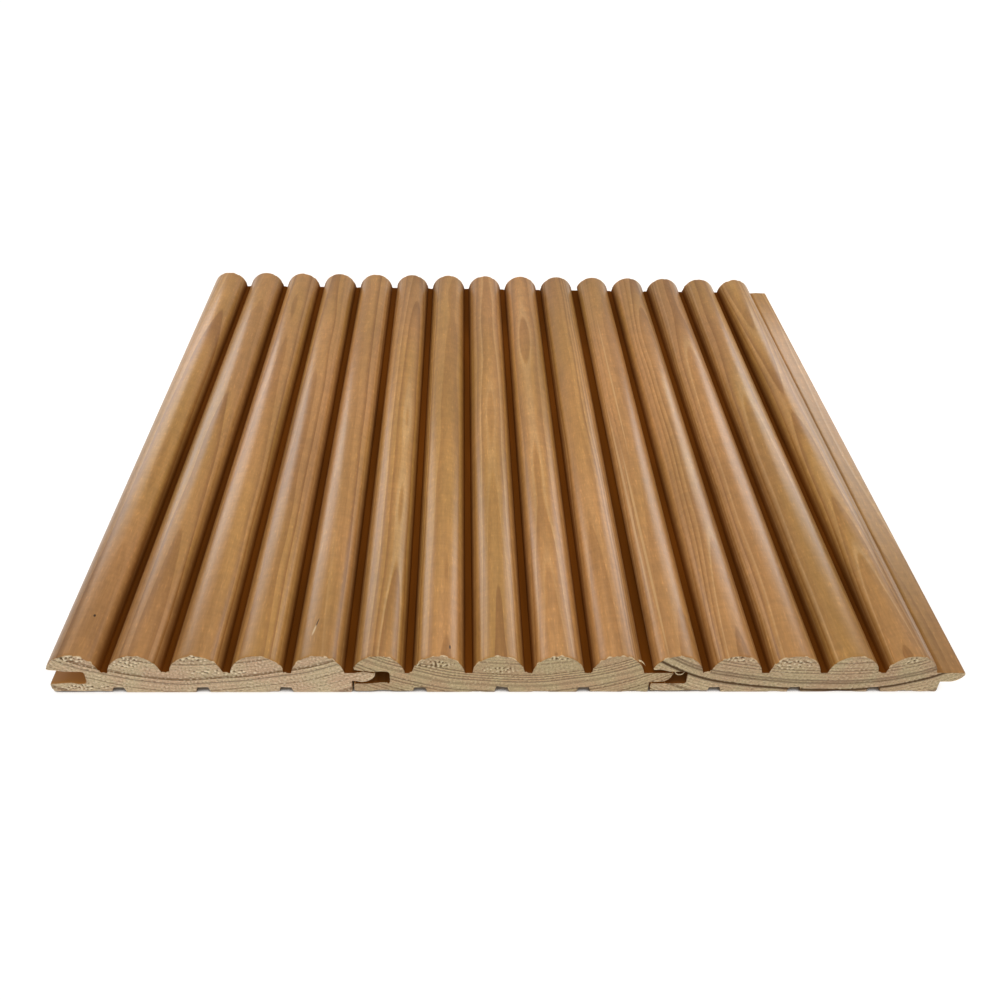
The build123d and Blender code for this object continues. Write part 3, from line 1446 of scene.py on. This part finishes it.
def lining_boards() -> tuple[Board, ...]:
    """The three boards from left to right, each from its own tree.

    Returns:
        The boards, not yet built.
    """
    section = BoardSection()
    grid = EndGrid.over(section.outline(), spacing=0.42 * MM, margin=0.2 * MM)
    left = Board(
        "left_board",
        "board_left",
        section,
        grid,
        Trunk(
            pith=(61, 117),
            lean=(0.004, 0.011),
            ring_width=2.1,
            seed=11,
            flame_tips=(-143, None, 86, None, None),
            bold_points=((36, 5.9, 0.16),),
        ),
        end_tone=(1.04, 1.04, 1.05),
        end_roughness=0.5,
        torn=(
            TornPatch(30, 16, 9, 4),
            TornPatch(55, 17.5, 9, 2.4),
            TornPatch(66, 10.4, 19, 1.2),
            TornPatch(12, 17, 7, 2),
            TornPatch(14, 2.5, 12, 1.8),
        ),
        marks=(
            Mark(MarkKind.RESIN_DOT, -159.14, -142.8, 0.9, 0.55),
            Mark(MarkKind.NICK, -75.3, -151.0, 3.4, 0.45, -11.0),
            Mark(MarkKind.RESIN_DOT, -74.5, -147.2, 3.2, 0.28, -11.0),
        ),
        open_left=True,
    )
    middle = Board(
        "middle_board",
        "board_middle",
        section,
        grid,
        Trunk(
            pith=(61, 115),
            lean=(-0.004, 0.011),
            ring_width=1.7,
            seed=23,
            flame_tips=(None, 90, None, 106, -110),
            bold_points=((35.8, 8.1, 0.16), (30, 3.4, 0.2)),
        ),
        end_tone=(0.89, 0.885, 0.82),
        end_roughness=0.42,
        torn=(TornPatch(32, 14.5, 9, 2), TornPatch(56, 11.5, 9, 1.6), TornPatch(78, 17.8, 6, 1.2)),
        marks=(Mark(MarkKind.RESIN_DOT, -24.1, -159.3, 1.3, 0.4),),
    )
    right = Board(
        "right_board",
        "board_right",
        section,
        grid,
        Trunk(
            pith=(66, 119),
            lean=(0.006, 0.010),
            ring_width=1.9,
            seed=37,
            flame_tips=(None,) * section.beads,
            bold_points=((53.4, 1.6, 0.55), (60, 4.6, 0.22), (99.9, 9.2, 0.2)),
        ),
        end_tone=(0.92, 0.915, 0.88),
        end_roughness=0.45,
        torn=(TornPatch(34, 17.4, 8, 1.8), TornPatch(55, 14.5, 9, 3), TornPatch(98, 16.5, 6, 2)),
        marks=(
            Mark(MarkKind.STREAK, 56.9, -95, 95, 0.6, 0.4),
            Mark(MarkKind.STREAK, 54.7, -60, 100, 0.5, 0.4),
            Mark(MarkKind.STREAK, 58.8, 40, 90, 0.45, 0.3),
        ),
        open_right=True,
    )
    return left, middle, right


def main() -> None:
    """Builds the boards, the loose wood, the studio and the camera in order, and reports each piece."""
    logging.basicConfig(level=logging.INFO, format="%(name)s: %(message)s")
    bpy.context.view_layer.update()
    bpy.context.scene.view_settings.view_transform = "Standard"

    splinter = Sliver("splinter", root=(46.1, -164.3, 16.2), heading=-18.0, curl=-55.0, length=4.2)
    shaving = Sliver("shaving", root=(60.7, -164.2, 10.7), heading=-95.0, curl=185.0, length=6.0)
    for part in (*lining_boards(), splinter, shaving):
        piece = part.build()
        part.dress(piece)
        mesh = piece.data
        log.info("%s: %d vertices, %d faces", piece.name, len(mesh.vertices), len(mesh.polygons))

    studio = Studio()
    log.info("stage: %s", studio.build_floor().name)
    log.info("sky: %s", studio.build_sky().name)
    for panel in studio.panels:
        log.info("lamp: %s", panel.build().name)
    log.info("camera: %s", Viewpoint().build().name)


if __name__ == "__main__":
    main()
